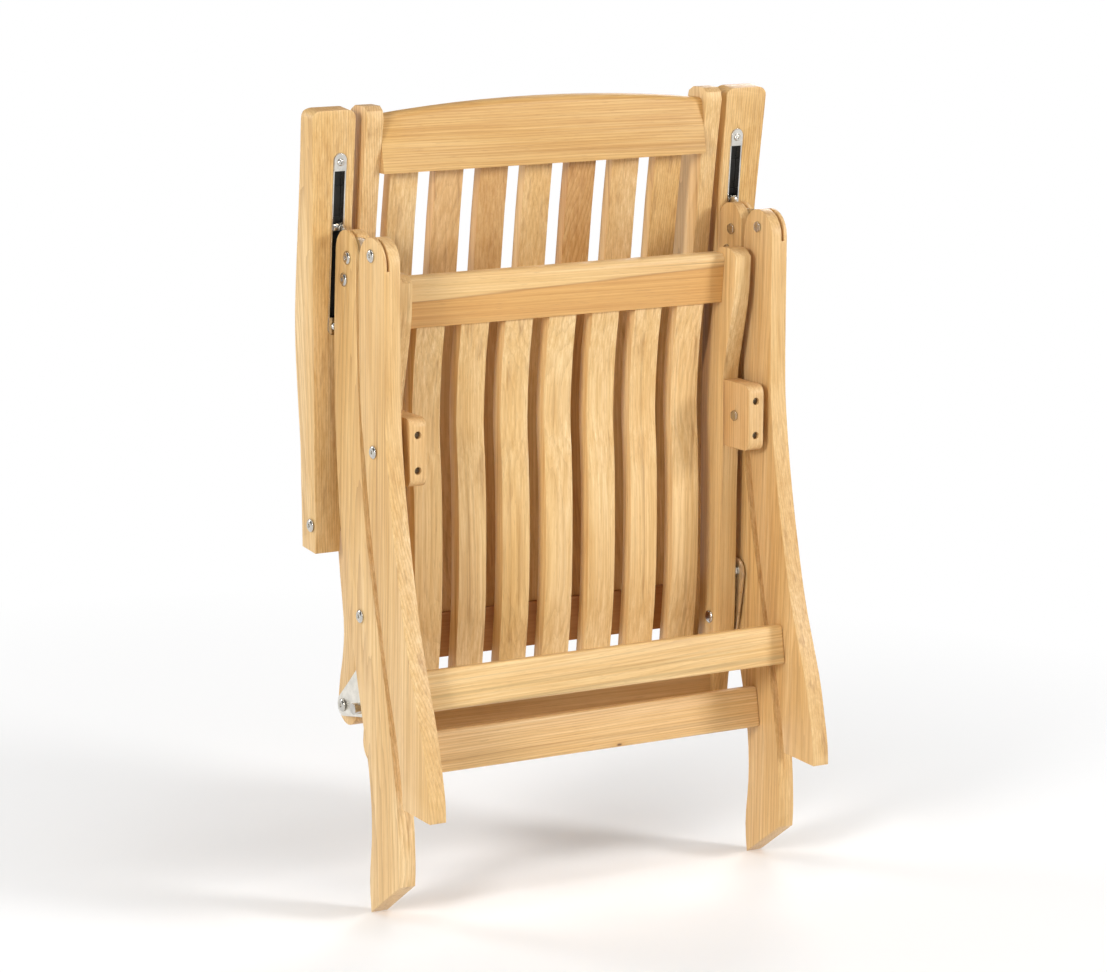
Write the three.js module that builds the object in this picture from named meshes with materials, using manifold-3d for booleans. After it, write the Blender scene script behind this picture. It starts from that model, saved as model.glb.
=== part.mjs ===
import * as THREE from 'three';
import { mergeVertices } from 'three/addons/utils/BufferGeometryUtils.js';
import Module from 'manifold-3d';

// A folding teak armchair, folded flat as it is carried and stored.
// Millimetres. X runs across the chair, -Y is the side a person looks at, Z is height over the floor.
// Every place below is written for the chair's right half, at positive X, and mirrored to the left.

const wasm = await Module();
wasm.setup();

// Clearances
const fit = 0.3; // between two pieces that touch
const overrun = 5; // how far a cutter runs past what it cuts

// Widths, from the middle of the chair outwards
const frameHalfWidth = 228; // outer face of the back stiles and the seat rails
const boardThickness = 20; // stiles, seat rails and legs
const plateGap = 10; // room between those frames and the legs for the steel plates
const spacerRoom = 11; // room between a stile and its armrest

// Rear legs, which the rest of the chair hangs on
const rearLegHeight = 760;
const rearLegSweep = 110; // how far the toe stands in front of the reference line
const rearLegTopRadius = 24;
const soleRise = 45; // how far the toe lies over the heel while the chair is folded

// Front legs, which nest against the front edges of the rear legs
const frontLegLength = 624;
const frontLegTopRadius = 29;
const legNest = 10; // about how far a front leg stands off the rear leg's front edge
const hingeRise = 8.865; // from the middle of a front leg's round top up to its hinge

// Stretchers between the legs
const stretcherThickness = 20;
const rearStretcherWidth = 47;
const frontStretcherWidth = 45;
const stretcherTilt = THREE.MathUtils.degToRad(10);

// Steel tongues in the tops of the legs
const tongueThickness = 3;
const tongueSlot = 3.6;
const tongueSetback = 5.5; // from the leg's outer face to the middle of its tongue
const tongueHingeRadius = 13;
const tongueSliderRadius = 5;
const slotClearance = 5; // between a tongue and the floor of its slot

// Steel plates that link seat, back and rear legs
const plateThickness = 3;
const plateReach = 91; // from the leg pivot back to the back pivot
const plateDrop = 124; // from the leg pivot down to the back pivot
const plateLegRadius = 15;
const plateBackRadius = 13;
const plateCornerRadius = 12;
const stopPinDiameter = 13;
const stopPinLength = 21;

// Seat
const seatRailDepth = 46;
const seatRailEndRadius = 22;
const seatFrontRailHeight = 57;
const seatFrontRailThickness = 23;
const seatRearRailHeight = 50;
const seatRearRailThickness = 20;
const seatFrontRailTilt = THREE.MathUtils.degToRad(5);
const seatSlatWidth = 35;
const seatSlatThickness = 17.5;
const seatSlatEndGap = 22.5; // between the outermost slats and the seat rails
const slatCount = 7;
const roundedEdge = 8; // rounding of the upper front edges of the front and top rails
const easedEdge = 2; // the same on the rails that the slats hide
const blockHeight = 76;
const blockDepth = 53;
const blockRadius = 10;
const blockNose = 28; // from the seat pivot to the front face of its block

// Back
const stileLength = 682; // from the back pivot to the top
const stileDepth = 45;
const stileEndRadius = 23.5;
const backTopRailHeight = 63;
const backTopRailThickness = 22;
const backTopRailRise = 11.5; // the crown of the top rail over its ends
const backTopRailTilt = THREE.MathUtils.degToRad(8);
const backBottomRailHeight = 51;
const backBottomRailThickness = 22;
const backSlatWidth = 35;
const backSlatThickness = 15;
const backSlatEndGap = 19.5; // between the outermost slats and the stiles
const backSlatSetback = 12; // from the stiles' front edges to the front of the slats

// Armrests
const armNose = 47.6; // length beyond the upper end of the track
const armTail = 31; // length beyond the arm pivot
const armWidth = 53;
const armThickness = 46;
const armPivotInset = 9; // from the underside to the arm pivot
const armCornerRadius = 10;
const trackLength = 204;
const trackWidth = 15.5;
const trackDepth = 12;
const trackWall = 1.5;
const trackTail = 121; // length of track between the slider and its lower end
const trackSetback = 17; // from the armrest's inner edge to the middle of the track
const linerThickness = 1.5;
const linerNotchCount = 5;
const linerNotchDepth = 1.2;
const linerNotchWidth = 9;
const linerNotchPitch = 34;
const capLength = 20;
const capLip = 1.2;
const sliderDepth = 2.2; // from the armrest's underside to the middle of the slider
const sliderDiameter = 9;
const sliderAxleDiameter = 3;
const sliderHeadDiameter = 6.6;

// Fasteners
const boltDiameter = 8;
const boltHeadDiameter = 15;
const boltHeadHeight = 2.8;
const smallBoltDiameter = 6;
const nutHeight = 2.6;
const nutDiameter = 13;
const socketAcross = 5;
const socketDepth = 1.6;
const headCrownShare = 0.36;
const washerDiameter = 18;
const spacerDiameter = 20;
const screwDiameter = 4;
const screwHeadDiameter = 7.4;
const screwReach = 18; // length of a block's screw in the seat rail behind it
const counterboreDepth = 5;
const counterboreRoom = 1.2; // by which a counterbore is wider than its screw's head
const trackScrewLength = 20; // from the armrest's face, through the track and into the wood

// Counts
const turnedSides = 16;
const nutSides = 6;
const cornerSteps = 3;
const capSteps = 8;
const crownSteps = 12;
const curveSteps = 10;
const roundEndSteps = 12;

// Places that follow from the widths
const frameInner = frameHalfWidth - boardThickness;
const legInner = frameHalfWidth + plateGap;
const legOuter = legInner + boardThickness;
const armInner = frameHalfWidth + spacerRoom;
const plateInner = frameHalfWidth + (plateGap - plateThickness) / 2;
const plateOuter = plateInner + plateThickness;
const tongueMiddle = legOuter - tongueSetback;

// A place is a depth (Y) and a height (Z). An outline is a list of shares of a piece's own two sizes.
const place = (origin, deep, high, [deepShare, highShare]) =>
  new THREE.Vector2(origin.x + deep * deepShare, origin.y + high * highShare);
const outline = (origin, deep, high, shares) => shares.map((share) => place(origin, deep, high, share));

const floor = new THREE.Vector2(0, 0);
const onRearLeg = (shares) => place(floor, rearLegSweep, rearLegHeight, shares);

// Pivots of the folding linkage
const hingeShares = [-0.473, 0.972];
const sliderShares = [0.3, 1.0];
const linkShares = [-0.2, 0.4395];
const upperTongueBoltShares = [0.036, 0.9605];
const lowerTongueBoltShares = [0.109, 0.9276];
const hinge = onRearLeg(hingeShares);
const slider = onRearLeg(sliderShares);
const linkPivot = onRearLeg(linkShares);
const tongueBolts = [onRearLeg(upperTongueBoltShares), onRearLeg(lowerTongueBoltShares)];

const seatPivotShares = [-0.10310345, -0.3445];
const seatPivot = place(hinge, frontLegTopRadius, frontLegLength, seatPivotShares);

const plateSeatShares = [0.187, -0.452];
const plateBackShares = [1, -1];
const stopPinShares = [0.28, -0.9];
const onPlate = (shares) => place(linkPivot, plateReach, plateDrop, shares);
const seatLink = onPlate(plateSeatShares);
const backPivot = onPlate(plateBackShares);
const stopPin = onPlate(stopPinShares);

const armPivotShares = [0.067, 0.309];
const armPivot = place(backPivot, stileDepth, stileLength, armPivotShares);

// Materials
const teak = (colour) => new THREE.MeshStandardMaterial({ color: colour, roughness: 0.6, metalness: 0 });
const legTeak = teak('#d8b07a');
const frameTeak = teak('#deb67c');
const slatTeak = teak('#e6c08c');
const armTeak = teak('#dab27c');
const steel = new THREE.MeshStandardMaterial({ color: '#b9b7b2', roughness: 0.35, metalness: 1 });
const brass = new THREE.MeshStandardMaterial({ color: '#c8a24a', roughness: 0.3, metalness: 1 });
const blackPlastic = new THREE.MeshStandardMaterial({ color: '#1c1b1a', roughness: 0.55, metalness: 0 });

// Solids
function bare(geometry) {
  const copy = geometry.clone();
  copy.deleteAttribute('normal');
  copy.deleteAttribute('uv');
  return mergeVertices(copy.index ? copy.toNonIndexed() : copy);
}

function signedVolume(geometry) {
  const points = geometry.attributes.position;
  const corners = [new THREE.Vector3(), new THREE.Vector3(), new THREE.Vector3()];
  let total = 0;
  for (let i = 0; i < geometry.index.count; i += 3) {
    corners.forEach((corner, k) => corner.fromBufferAttribute(points, geometry.index.getX(i + k)));
    total += corners[0].dot(corners[1].clone().cross(corners[2]));
  }
  return total;
}

// The same geometry with every face turned outwards
function facingOut(geometry) {
  const solid = bare(geometry);
  if (signedVolume(solid) < 0) {
    const turns = solid.index.array;
    for (let i = 0; i < turns.length; i += 3) {
      [turns[i], turns[i + 1]] = [turns[i + 1], turns[i]];
    }
  }
  return solid;
}

function toSolid(geometry) {
  const closed = facingOut(geometry);
  return new wasm.Manifold(new wasm.Mesh({
    numProp: 3,
    vertProperties: new Float32Array(closed.attributes.position.array),
    triVerts: new Uint32Array(closed.index.array),
  }));
}

function fromSolid(solid) {
  const mesh = solid.getMesh();
  const geometry = new THREE.BufferGeometry();
  geometry.setAttribute('position', new THREE.BufferAttribute(new Float32Array(mesh.vertProperties), 3));
  geometry.setIndex(new THREE.BufferAttribute(new Uint32Array(mesh.triVerts), 1));
  return geometry;
}

const cut = (geometry, cutters) =>
  fromSolid(cutters.reduce((rest, cutter) => rest.subtract(toSolid(cutter)), toSolid(geometry)));
const join = (geometries) =>
  fromSolid(geometries.map(toSolid).reduce((sum, piece) => sum.add(piece)));
const common = (first, second) => fromSolid(toSolid(first).intersect(toSolid(second)));

function mirrored(geometry) {
  return facingOut(geometry.clone().applyMatrix4(new THREE.Matrix4().makeScale(-1, 1, 1)));
}

// Side outlines lie in depth and height, and are swept across the chair from one X to another
const sideways = new THREE.Matrix4().makeBasis(
  new THREE.Vector3(0, 1, 0), new THREE.Vector3(0, 0, 1), new THREE.Vector3(1, 0, 0));

function swept(shape, from, to, curveSegments = cornerSteps, steps = 1) {
  const geometry = new THREE.ExtrudeGeometry(shape, {
    depth: to - from, bevelEnabled: false, curveSegments, steps,
  });
  return geometry.applyMatrix4(sideways).translate(from, 0, 0);
}

function closedShape(points) {
  const shape = new THREE.Shape();
  shape.moveTo(points[0].x, points[0].y);
  points.slice(1).forEach((point) => shape.lineTo(point.x, point.y));
  shape.closePath();
  return shape;
}

const splineTo = (shape, points) => shape.splineThru(points);
const lineTo = (shape, point) => shape.lineTo(point.x, point.y);

// The half-round end of a board, from one angle to another round its centre
function roundEnd(shape, centre, radius, from, to) {
  for (let i = 1; i <= roundEndSteps; i += 1) {
    const angle = THREE.MathUtils.lerp(from, to, i / roundEndSteps);
    shape.lineTo(centre.x + radius * Math.cos(angle), centre.y + radius * Math.sin(angle));
  }
}

// The depth of a curve through points that climb, as a function of height. Past its ends it stays as it is.
function depthAlong(points) {
  const fine = new THREE.SplineCurve(points).getPoints(curveSteps * points.length);
  return (height) => {
    const above = fine.findIndex((point) => point.y >= height);
    if (above === 0) return fine[0].x;
    if (above < 0) return fine[fine.length - 1].x;
    const [low, high] = [fine[above - 1], fine[above]];
    return THREE.MathUtils.mapLinear(height, low.y, high.y, low.x, high.x);
  };
}

// Turned pieces lie along X. A profile lists a radius and a distance across the chair.
function turned(profile, centre, sides = turnedSides) {
  const points = profile.map(([radius, along]) => new THREE.Vector2(radius, along));
  return new THREE.LatheGeometry(points, sides)
    .rotateZ(-Math.PI / 2)
    .translate(0, centre.x, centre.y);
}

const rod = (diameter, from, to, centre, sides) =>
  turned([[0, from], [diameter / 2, from], [diameter / 2, to], [0, to]], centre, sides);

const hole = (diameter, from, to, centre) =>
  rod(diameter + 2 * fit, from - overrun, to + overrun, centre);

const ring = (outer, inner, from, to, centre) =>
  turned([
    [inner / 2 + fit, from], [outer / 2, from], [outer / 2, to], [inner / 2 + fit, to], [inner / 2 + fit, from],
  ], centre);

// A button-head bolt through everything between its head's seat and its nut's seat.
// The head lies outside, with a six-sided socket. Collars are pairs of distances with a washer between them.
function bolt(diameter, headSeat, nutSeat, centre, collars = []) {
  const crown = headSeat + fit + boltHeadHeight;
  const shank = diameter / 2;
  const tip = nutSeat - fit - nutHeight;
  const washers = collars.flatMap(([from, to]) => [
    [shank, from + fit], [washerDiameter / 2, from + fit], [washerDiameter / 2, to - fit], [shank, to - fit],
  ]);
  const body = turned([
    [0, tip], [shank, tip], ...washers, [shank, headSeat + fit], [boltHeadDiameter / 2, headSeat + fit],
    [boltHeadDiameter / 2, crown - boltHeadHeight / 2], [boltHeadDiameter * headCrownShare, crown], [0, crown],
  ], centre);
  const nut = rod(nutDiameter, tip, nutSeat - fit, centre, nutSides);
  const socket = rod(socketAcross, crown - socketDepth, crown + overrun, centre, nutSides);
  return cut(join([body, nut]), [socket]);
}

// Outline of a tongue between its hinge and its slider
const tongueTopShares = [[-0.2, 0.993], [0.1, 0.99], [0.22, 1.005]];
const tongueRootShares = [[0.2, 0.93], [0.19, 0.917], [0, 0.917], [-0.14, 0.955], [-0.36, 0.957]];
const tongueRoot = outline(floor, rearLegSweep, rearLegHeight, tongueRootShares);

// Rear legs
const rearTopShare = 0.075;
const rearTop = new THREE.Vector2(rearLegSweep * rearTopShare, rearLegHeight - rearLegTopRadius);
const rearLegFrontShares = [
  [-1.01, 0.1], [-0.95, 0.19], [-0.71, 0.35], [-0.475, 0.478], [-0.315, 0.571], [-0.23, 0.66], [-0.15, 0.84],
];
const rearLegRearShares = [
  [0.335, 0.86], [0.335, 0.77], [0.31, 0.68], [0.2, 0.53], [-0.1, 0.35], [-0.35, 0.22], [-0.42, 0.13],
  [-0.37, 0.05], [-0.4, 0],
];
const rearLegFront = [
  new THREE.Vector2(-rearLegSweep, soleRise),
  ...outline(floor, rearLegSweep, rearLegHeight, rearLegFrontShares),
  new THREE.Vector2(rearTop.x - rearLegTopRadius, rearTop.y),
];

function rearLegShape() {
  const shape = new THREE.Shape();
  const [toe, ...frontEdge] = rearLegFront;
  shape.moveTo(toe.x, toe.y);
  splineTo(shape, frontEdge);
  roundEnd(shape, rearTop, rearLegTopRadius, Math.PI, 0);
  splineTo(shape, outline(floor, rearLegSweep, rearLegHeight, rearLegRearShares));
  shape.closePath();
  return shape;
}

// A cutter for a tongue's slot, open upwards from the line that is its floor
function tongueSlotCutter(floorLine, top) {
  const [first, last] = [floorLine[0], floorLine[floorLine.length - 1]];
  const shape = closedShape([...floorLine, new THREE.Vector2(last.x, top), new THREE.Vector2(first.x, top)]);
  return swept(shape, tongueMiddle - tongueSlot / 2, tongueMiddle + tongueSlot / 2);
}

function rearLeg() {
  const slotFloor = Math.min(...tongueRoot.map((point) => point.y)) - slotClearance;
  const floorLine = [hinge.x, slider.x + rearLegTopRadius].map((deep) => new THREE.Vector2(deep, slotFloor));
  const slot = tongueSlotCutter(floorLine, rearLegHeight + overrun);
  const holes = [
    ...tongueBolts.map((centre) => hole(smallBoltDiameter, legInner, legOuter, centre)),
    hole(boltDiameter, legInner, legOuter, linkPivot),
  ];
  return cut(swept(rearLegShape(), legInner, legOuter), [slot, ...holes]);
}

// Front legs. The rear edge is the rear leg's front edge less a gap, and the front edge is the rear edge less
// a width. Each share pair is a share of that gap or width and a share of the length, down from the crown.
const frontTop = new THREE.Vector2(hinge.x, hinge.y - hingeRise);
const frontCrownHeight = frontTop.y + frontLegTopRadius;
const frontLegWidth = 2 * frontLegTopRadius;
const nestShares = [
  [1.518, -0.997], [1.545, -0.89], [0.934, -0.775], [1.049, -0.64], [1.287, -0.515], [1.048, -0.4],
  [0.434, -0.29], [0.59, -0.1],
];
const frontLegFrontShares = [
  [1.0534, -1], [1.09, -0.96], [1.07, -0.91], [1.085, -0.84], [0.977, -0.72], [0.936, -0.62], [0.915, -0.5],
  [0.913, -0.38], [0.993, -0.28],
];
const frontSlotShares = [[-1.8, -0.85], [0, -1.33], [1.8, -2.05]];
const rearLegFrontAt = depthAlong(rearLegFront);
const frontLegRear = [
  ...nestShares.map(([gapShare, highShare]) => {
    const height = frontCrownHeight + frontLegLength * highShare;
    return new THREE.Vector2(rearLegFrontAt(height) - legNest * gapShare, height);
  }),
  new THREE.Vector2(frontTop.x + frontLegTopRadius, frontTop.y),
];
const frontLegRearAt = depthAlong(frontLegRear);

function onFrontLeg([widthShare, highShare]) {
  const height = frontCrownHeight + frontLegLength * highShare;
  return new THREE.Vector2(frontLegRearAt(height) - frontLegWidth * widthShare, height);
}

function frontLegShape() {
  const shape = new THREE.Shape();
  const [toe, ...frontEdge] = frontLegFrontShares.map(onFrontLeg);
  shape.moveTo(toe.x, toe.y);
  splineTo(shape, [...frontEdge, new THREE.Vector2(frontTop.x - frontLegTopRadius, frontTop.y)]);
  roundEnd(shape, frontTop, frontLegTopRadius, Math.PI, 0);
  splineTo(shape, frontLegRear.slice(0, -1).reverse());
  shape.closePath();
  return shape;
}

function frontLeg() {
  const floorLine = outline(hinge, frontLegTopRadius, tongueHingeRadius, frontSlotShares);
  const slot = tongueSlotCutter(floorLine, frontCrownHeight + overrun);
  const holes = [
    hole(smallBoltDiameter, legInner, legOuter, hinge),
    hole(boltDiameter, legInner, legOuter, seatPivot),
  ];
  return cut(swept(frontLegShape(), legInner, legOuter), [slot, ...holes]);
}

// A board across the chair between two side pieces, given by its front top edge
function crossBoard(frontTopEdge, height, thickness, tilt, halfLength) {
  return new THREE.BoxGeometry(2 * halfLength, thickness, height)
    .translate(0, thickness / 2, -height / 2)
    .rotateX(tilt)
    .translate(0, frontTopEdge.x, frontTopEdge.y);
}

const rearStretcherShares = [-0.564, 0.267];
const frontStretcherShares = [0.553, -0.7564];
const betweenLegs = legInner - fit;
const rearStretcher = () => crossBoard(
  onRearLeg(rearStretcherShares), rearStretcherWidth, stretcherThickness, -stretcherTilt, betweenLegs);
const frontStretcher = () => crossBoard(
  onFrontLeg(frontStretcherShares), frontStretcherWidth, stretcherThickness, -stretcherTilt, betweenLegs);

// Tongues: a steel blade from the front leg's hinge through the rear leg's slot and up to the slider,
// made fast in the rear leg by two bolts
function tongue() {
  const halfway = tongueThickness / 2;
  const hub = rod(2 * tongueHingeRadius, -halfway, halfway, hinge);
  const eye = rod(2 * tongueSliderRadius, -halfway, halfway, slider);
  const eyeCorner = tongueSliderRadius * Math.SQRT1_2;
  const blade = swept(closedShape([
    new THREE.Vector2(hinge.x, hinge.y + tongueHingeRadius),
    ...outline(floor, rearLegSweep, rearLegHeight, tongueTopShares),
    new THREE.Vector2(slider.x - eyeCorner, slider.y + eyeCorner),
    new THREE.Vector2(slider.x + eyeCorner, slider.y - eyeCorner),
    ...tongueRoot,
    new THREE.Vector2(hinge.x, hinge.y - tongueHingeRadius),
  ]), -halfway, halfway);
  const bores = [
    hole(smallBoltDiameter, -halfway, halfway, hinge),
    hole(sliderAxleDiameter, -halfway, halfway, slider),
  ];
  const steelwork = cut(join([blade, hub, eye]), bores).translate(tongueMiddle, 0, 0);
  const bolts = tongueBolts.map((centre) => bolt(smallBoltDiameter, legOuter, legInner, centre));
  return join([steelwork, ...bolts]);
}

// The slider: a roller beside the tongue's eye, its axle headed on the other side
const trackMiddle = armInner + trackSetback;
const trackInnerHalf = trackWidth / 2 - trackWall;
function trackSlider() {
  const eyeOuter = tongueMiddle + tongueThickness / 2 + fit;
  const eyeInner = tongueMiddle - tongueThickness / 2 - fit;
  const rollerEnd = trackMiddle + trackInnerHalf - 2 * fit;
  const headEnd = trackMiddle - trackInnerHalf + fit;
  const axle = sliderAxleDiameter / 2;
  return turned([
    [0, headEnd], [sliderHeadDiameter / 2, headEnd], [sliderHeadDiameter / 2, eyeInner], [axle, eyeInner],
    [axle, eyeOuter], [sliderDiameter / 2, eyeOuter], [sliderDiameter / 2, rollerEnd], [0, rollerEnd],
  ], slider);
}

// Link plates. The turns are shares of a whole turn, from which and to which their round corners run.
const plateFrontShares = [[-0.17, -0.024], [-0.05, -0.5], [0.04, -0.7]];
const plateFootShares = [0.27, -0.915];
const plateHollowShares = [[0.7, -0.66], [0.25, -0.3]];
const plateHollowTurnShare = 0.11;
const plateFootTurnShare = 0.8;
const plateBackTurnShare = 0.775;
const turn = (share) => 2 * Math.PI * share;

function linkPlate() {
  const shape = new THREE.Shape();
  const foot = onPlate(plateFootShares);
  const [frontTopPoint, ...frontPoints] = outline(linkPivot, plateReach, plateDrop, plateFrontShares);
  const tangent = turn(plateHollowTurnShare);
  shape.moveTo(frontTopPoint.x, frontTopPoint.y);
  splineTo(shape, [...frontPoints, new THREE.Vector2(foot.x - plateCornerRadius, foot.y)]);
  shape.absarc(foot.x, foot.y, plateCornerRadius, Math.PI, turn(plateFootTurnShare), false);
  shape.absarc(
    backPivot.x, backPivot.y, plateBackRadius, turn(plateBackTurnShare), 2 * Math.PI + tangent, false);
  splineTo(shape, [
    ...outline(linkPivot, plateReach, plateDrop, plateHollowShares),
    new THREE.Vector2(linkPivot.x + plateLegRadius * Math.cos(tangent),
      linkPivot.y + plateLegRadius * Math.sin(tangent)),
  ]);
  shape.absarc(linkPivot.x, linkPivot.y, plateLegRadius, tangent, Math.PI, false);
  shape.closePath();
  const bores = [
    hole(boltDiameter, plateInner, plateOuter, linkPivot),
    hole(boltDiameter, plateInner, plateOuter, backPivot),
    hole(smallBoltDiameter, plateInner, plateOuter, stopPin),
  ];
  return join([cut(swept(shape, plateInner, plateOuter), bores), plateStud()]);
}

// A pin fixed in its plate, its wide end standing out across the rear leg's path
function stopPinPiece() {
  const neck = smallBoltDiameter / 2;
  const shoulder = plateOuter + fit;
  return turned([
    [0, plateInner - nutHeight], [nutDiameter / 2, plateInner - nutHeight], [nutDiameter / 2, plateInner - fit],
    [neck, plateInner - fit], [neck, shoulder], [stopPinDiameter / 2, shoulder],
    [stopPinDiameter / 2, shoulder + stopPinLength], [0, shoulder + stopPinLength],
  ], stopPin);
}

// The seat's link bolt is in two: a bolt in the rail, and this stud in the plate, which it meets face to face
function plateStud() {
  const rivet = plateOuter + nutHeight;
  const shank = boltDiameter / 2;
  return turned([
    [0, plateInner], [shank, plateInner], [shank, plateOuter], [nutDiameter / 2, plateOuter],
    [nutDiameter / 2, rivet], [0, rivet],
  ], seatLink);
}

// Seat. Its outlines are drawn from the link bolt, with the span to the seat pivot as their height.
const seatSpan = seatPivot.y - seatLink.y;
const onSeat = (shares) => place(seatLink, seatRailDepth, seatSpan, shares);
const seatEndShares = [0.326, -0.4146];
const seatRailFrontShares = [
  [-0.24, -0.272], [-0.456, -0.053], [-0.5, 0.3], [-0.52, 0.667], [-0.54, 0.813], [-0.5, 1.134],
  [-0.565, 1.236], [-0.72, 1.358], [-0.96, 1.557], [-1.04, 1.74],
];
const seatRailTopShares = [[-0.83, 1.769], [-0.57, 1.775], [-0.3, 1.772], [-0.17, 1.75]];
const seatRailRearShares = [
  [-0.043, 1.557], [0.174, 1.358], [0.37, 1.236], [0.457, 1.134], [0.48, 0.813], [0.48, 0.3], [0.52, -0.05],
  [0.7, -0.25],
];
const seatRailFront = outline(seatLink, seatRailDepth, seatSpan, seatRailFrontShares);

function seatRailShape() {
  const shape = new THREE.Shape();
  const end = onSeat(seatEndShares);
  shape.moveTo(end.x - seatRailEndRadius, end.y);
  splineTo(shape, seatRailFront);
  splineTo(shape, outline(seatLink, seatRailDepth, seatSpan, seatRailTopShares));
  splineTo(shape, [
    ...outline(seatLink, seatRailDepth, seatSpan, seatRailRearShares),
    new THREE.Vector2(end.x + seatRailEndRadius, end.y),
  ]);
  roundEnd(shape, end, seatRailEndRadius, 0, -Math.PI);
  shape.closePath();
  return shape;
}

const seatRailFrontAt = depthAlong(seatRailFront);
const blockMiddle = (frameInner + frameHalfWidth) / 2;
const blockRowShares = [0.5, 0.25, 0, -0.25, -0.5];
const blockScrewShares = [0.26, -0.26];
const blockScrewHeights = blockScrewShares.map((share) => seatPivot.y + blockHeight * share);
const blockFace = seatPivot.x - blockNose;

function alongDepth(diameter, from, to, centreX, height) {
  return new THREE.CylinderGeometry(diameter / 2, diameter / 2, to - from, turnedSides)
    .translate(centreX, (from + to) / 2, height);
}

function pivotBlock() {
  const bottom = seatPivot.y - blockHeight / 2;
  const top = seatPivot.y + blockHeight / 2;
  const shape = new THREE.Shape();
  shape.moveTo(blockFace, bottom + blockRadius);
  shape.lineTo(blockFace, top - blockRadius);
  shape.absarc(blockFace + blockRadius, top - blockRadius, blockRadius, Math.PI, Math.PI / 2, true);
  blockRowShares.map((share) => seatPivot.y + blockHeight * share)
    .forEach((height) => shape.lineTo(seatRailFrontAt(height) - 2 * fit, height));
  shape.absarc(blockFace + blockRadius, bottom + blockRadius, blockRadius, 1.5 * Math.PI, Math.PI, true);
  shape.closePath();
  const counterbore = screwHeadDiameter + counterboreRoom;
  const bores = blockScrewHeights.flatMap((height) => [
    alongDepth(counterbore, blockFace - overrun, blockFace + counterboreDepth, blockMiddle, height),
    alongDepth(screwDiameter + 2 * fit, blockFace, blockScrewTip, blockMiddle, height),
  ]);
  return cut(swept(shape, frameInner, frameHalfWidth), [
    ...bores, hole(boltDiameter, frameInner, frameHalfWidth, seatPivot)]);
}

const blockScrewTip = blockFace + blockDepth + screwReach;

function seatRail() {
  const bores = blockScrewHeights.map((height) =>
    alongDepth(screwDiameter + 2 * fit, blockFace, blockScrewTip, blockMiddle, height));
  return cut(swept(seatRailShape(), frameInner, frameHalfWidth), [
    ...bores, hole(boltDiameter, frameInner, frameHalfWidth, seatLink)]);
}

// The seat's half of the link bolt: its head lies inside the rail and a washer parts rail and plate
function seatLinkBolt() {
  const head = frameInner - fit;
  const crown = head - boltHeadHeight;
  const shank = boltDiameter / 2;
  return turned([
    [0, crown], [boltHeadDiameter * headCrownShare, crown], [boltHeadDiameter / 2, head - boltHeadHeight / 2],
    [boltHeadDiameter / 2, head], [shank, head], [shank, frameHalfWidth + fit],
    [washerDiameter / 2, frameHalfWidth + fit], [washerDiameter / 2, plateInner - fit], [0, plateInner - fit],
  ], seatLink);
}

const betweenFrames = frameInner - fit;
const seatFrontRailShares = [-0.51, 1.748];
const seatRearRailShares = [-0.065, -0.248];
const seatFrontRailTop = onSeat(seatFrontRailShares);
const seatRearRailTop = onSeat(seatRearRailShares);

// A side profile of a board with its upper front edge rounded
function railProfile(frontTop, height, thickness, lean, topRadius) {
  const shape = new THREE.Shape();
  const shift = Math.tan(lean) * height;
  shape.moveTo(frontTop.x - shift, frontTop.y - height);
  shape.lineTo(frontTop.x, frontTop.y - topRadius);
  shape.absarc(frontTop.x + topRadius, frontTop.y - topRadius, topRadius, Math.PI, Math.PI / 2, true);
  shape.absarc(
    frontTop.x + thickness - topRadius / 2, frontTop.y - topRadius / 2, topRadius / 2, Math.PI / 2, 0, true);
  shape.lineTo(frontTop.x + thickness - shift, frontTop.y - height);
  shape.closePath();
  return shape;
}

const seatFrontRail = () => swept(railProfile(
  seatFrontRailTop, seatFrontRailHeight, seatFrontRailThickness, -seatFrontRailTilt, roundedEdge),
  -betweenFrames, betweenFrames);
const seatRearRail = () => swept(railProfile(
  seatRearRailTop, seatRearRailHeight, seatRearRailThickness, 0, easedEdge), -betweenFrames, betweenFrames);

// A slat: a strip that follows a curve between two rails
function slat(curvePoints, bottom, top, thickness, width, middle) {
  const curve = [bottom, ...curvePoints, top];
  const shape = new THREE.Shape();
  shape.moveTo(bottom.x, bottom.y);
  splineTo(shape, curve.slice(1));
  shape.lineTo(top.x + thickness, top.y);
  splineTo(shape, curve.slice(0, -1).reverse().map((point) => new THREE.Vector2(point.x + thickness, point.y)));
  shape.closePath();
  return swept(shape, middle - width / 2, middle + width / 2, 1);
}

// The middles of the slats, evenly spread between the two side frames
function slatPlaces(width, endGap) {
  const outermost = frameInner - endGap - width / 2;
  return Array.from({ length: slatCount }, (_, i) => THREE.MathUtils.mapLinear(
    i, 0, slatCount - 1, -outermost, outermost));
}

const seatSlatShares = [
  [0, -0.053], [-0.065, 0.037], [-0.13, 0.1585], [-0.174, 0.309], [-0.185, 0.504], [-0.174, 0.667],
  [-0.14, 0.83], [-0.087, 0.93], [-0.054, 1.03], [-0.076, 1.154], [-0.15, 1.317],
];
const seatSlatBottomShare = 0.11;
const seatSlatTopShare = -0.33;
const seatSlat = (middle) => slat(
  outline(seatLink, seatRailDepth, seatSpan, seatSlatShares),
  new THREE.Vector2(onSeat([seatSlatBottomShare, 0]).x, seatRearRailTop.y + fit),
  new THREE.Vector2(onSeat([seatSlatTopShare, 0]).x, seatFrontRailTop.y - seatFrontRailHeight - fit),
  seatSlatThickness, seatSlatWidth, middle);

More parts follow.
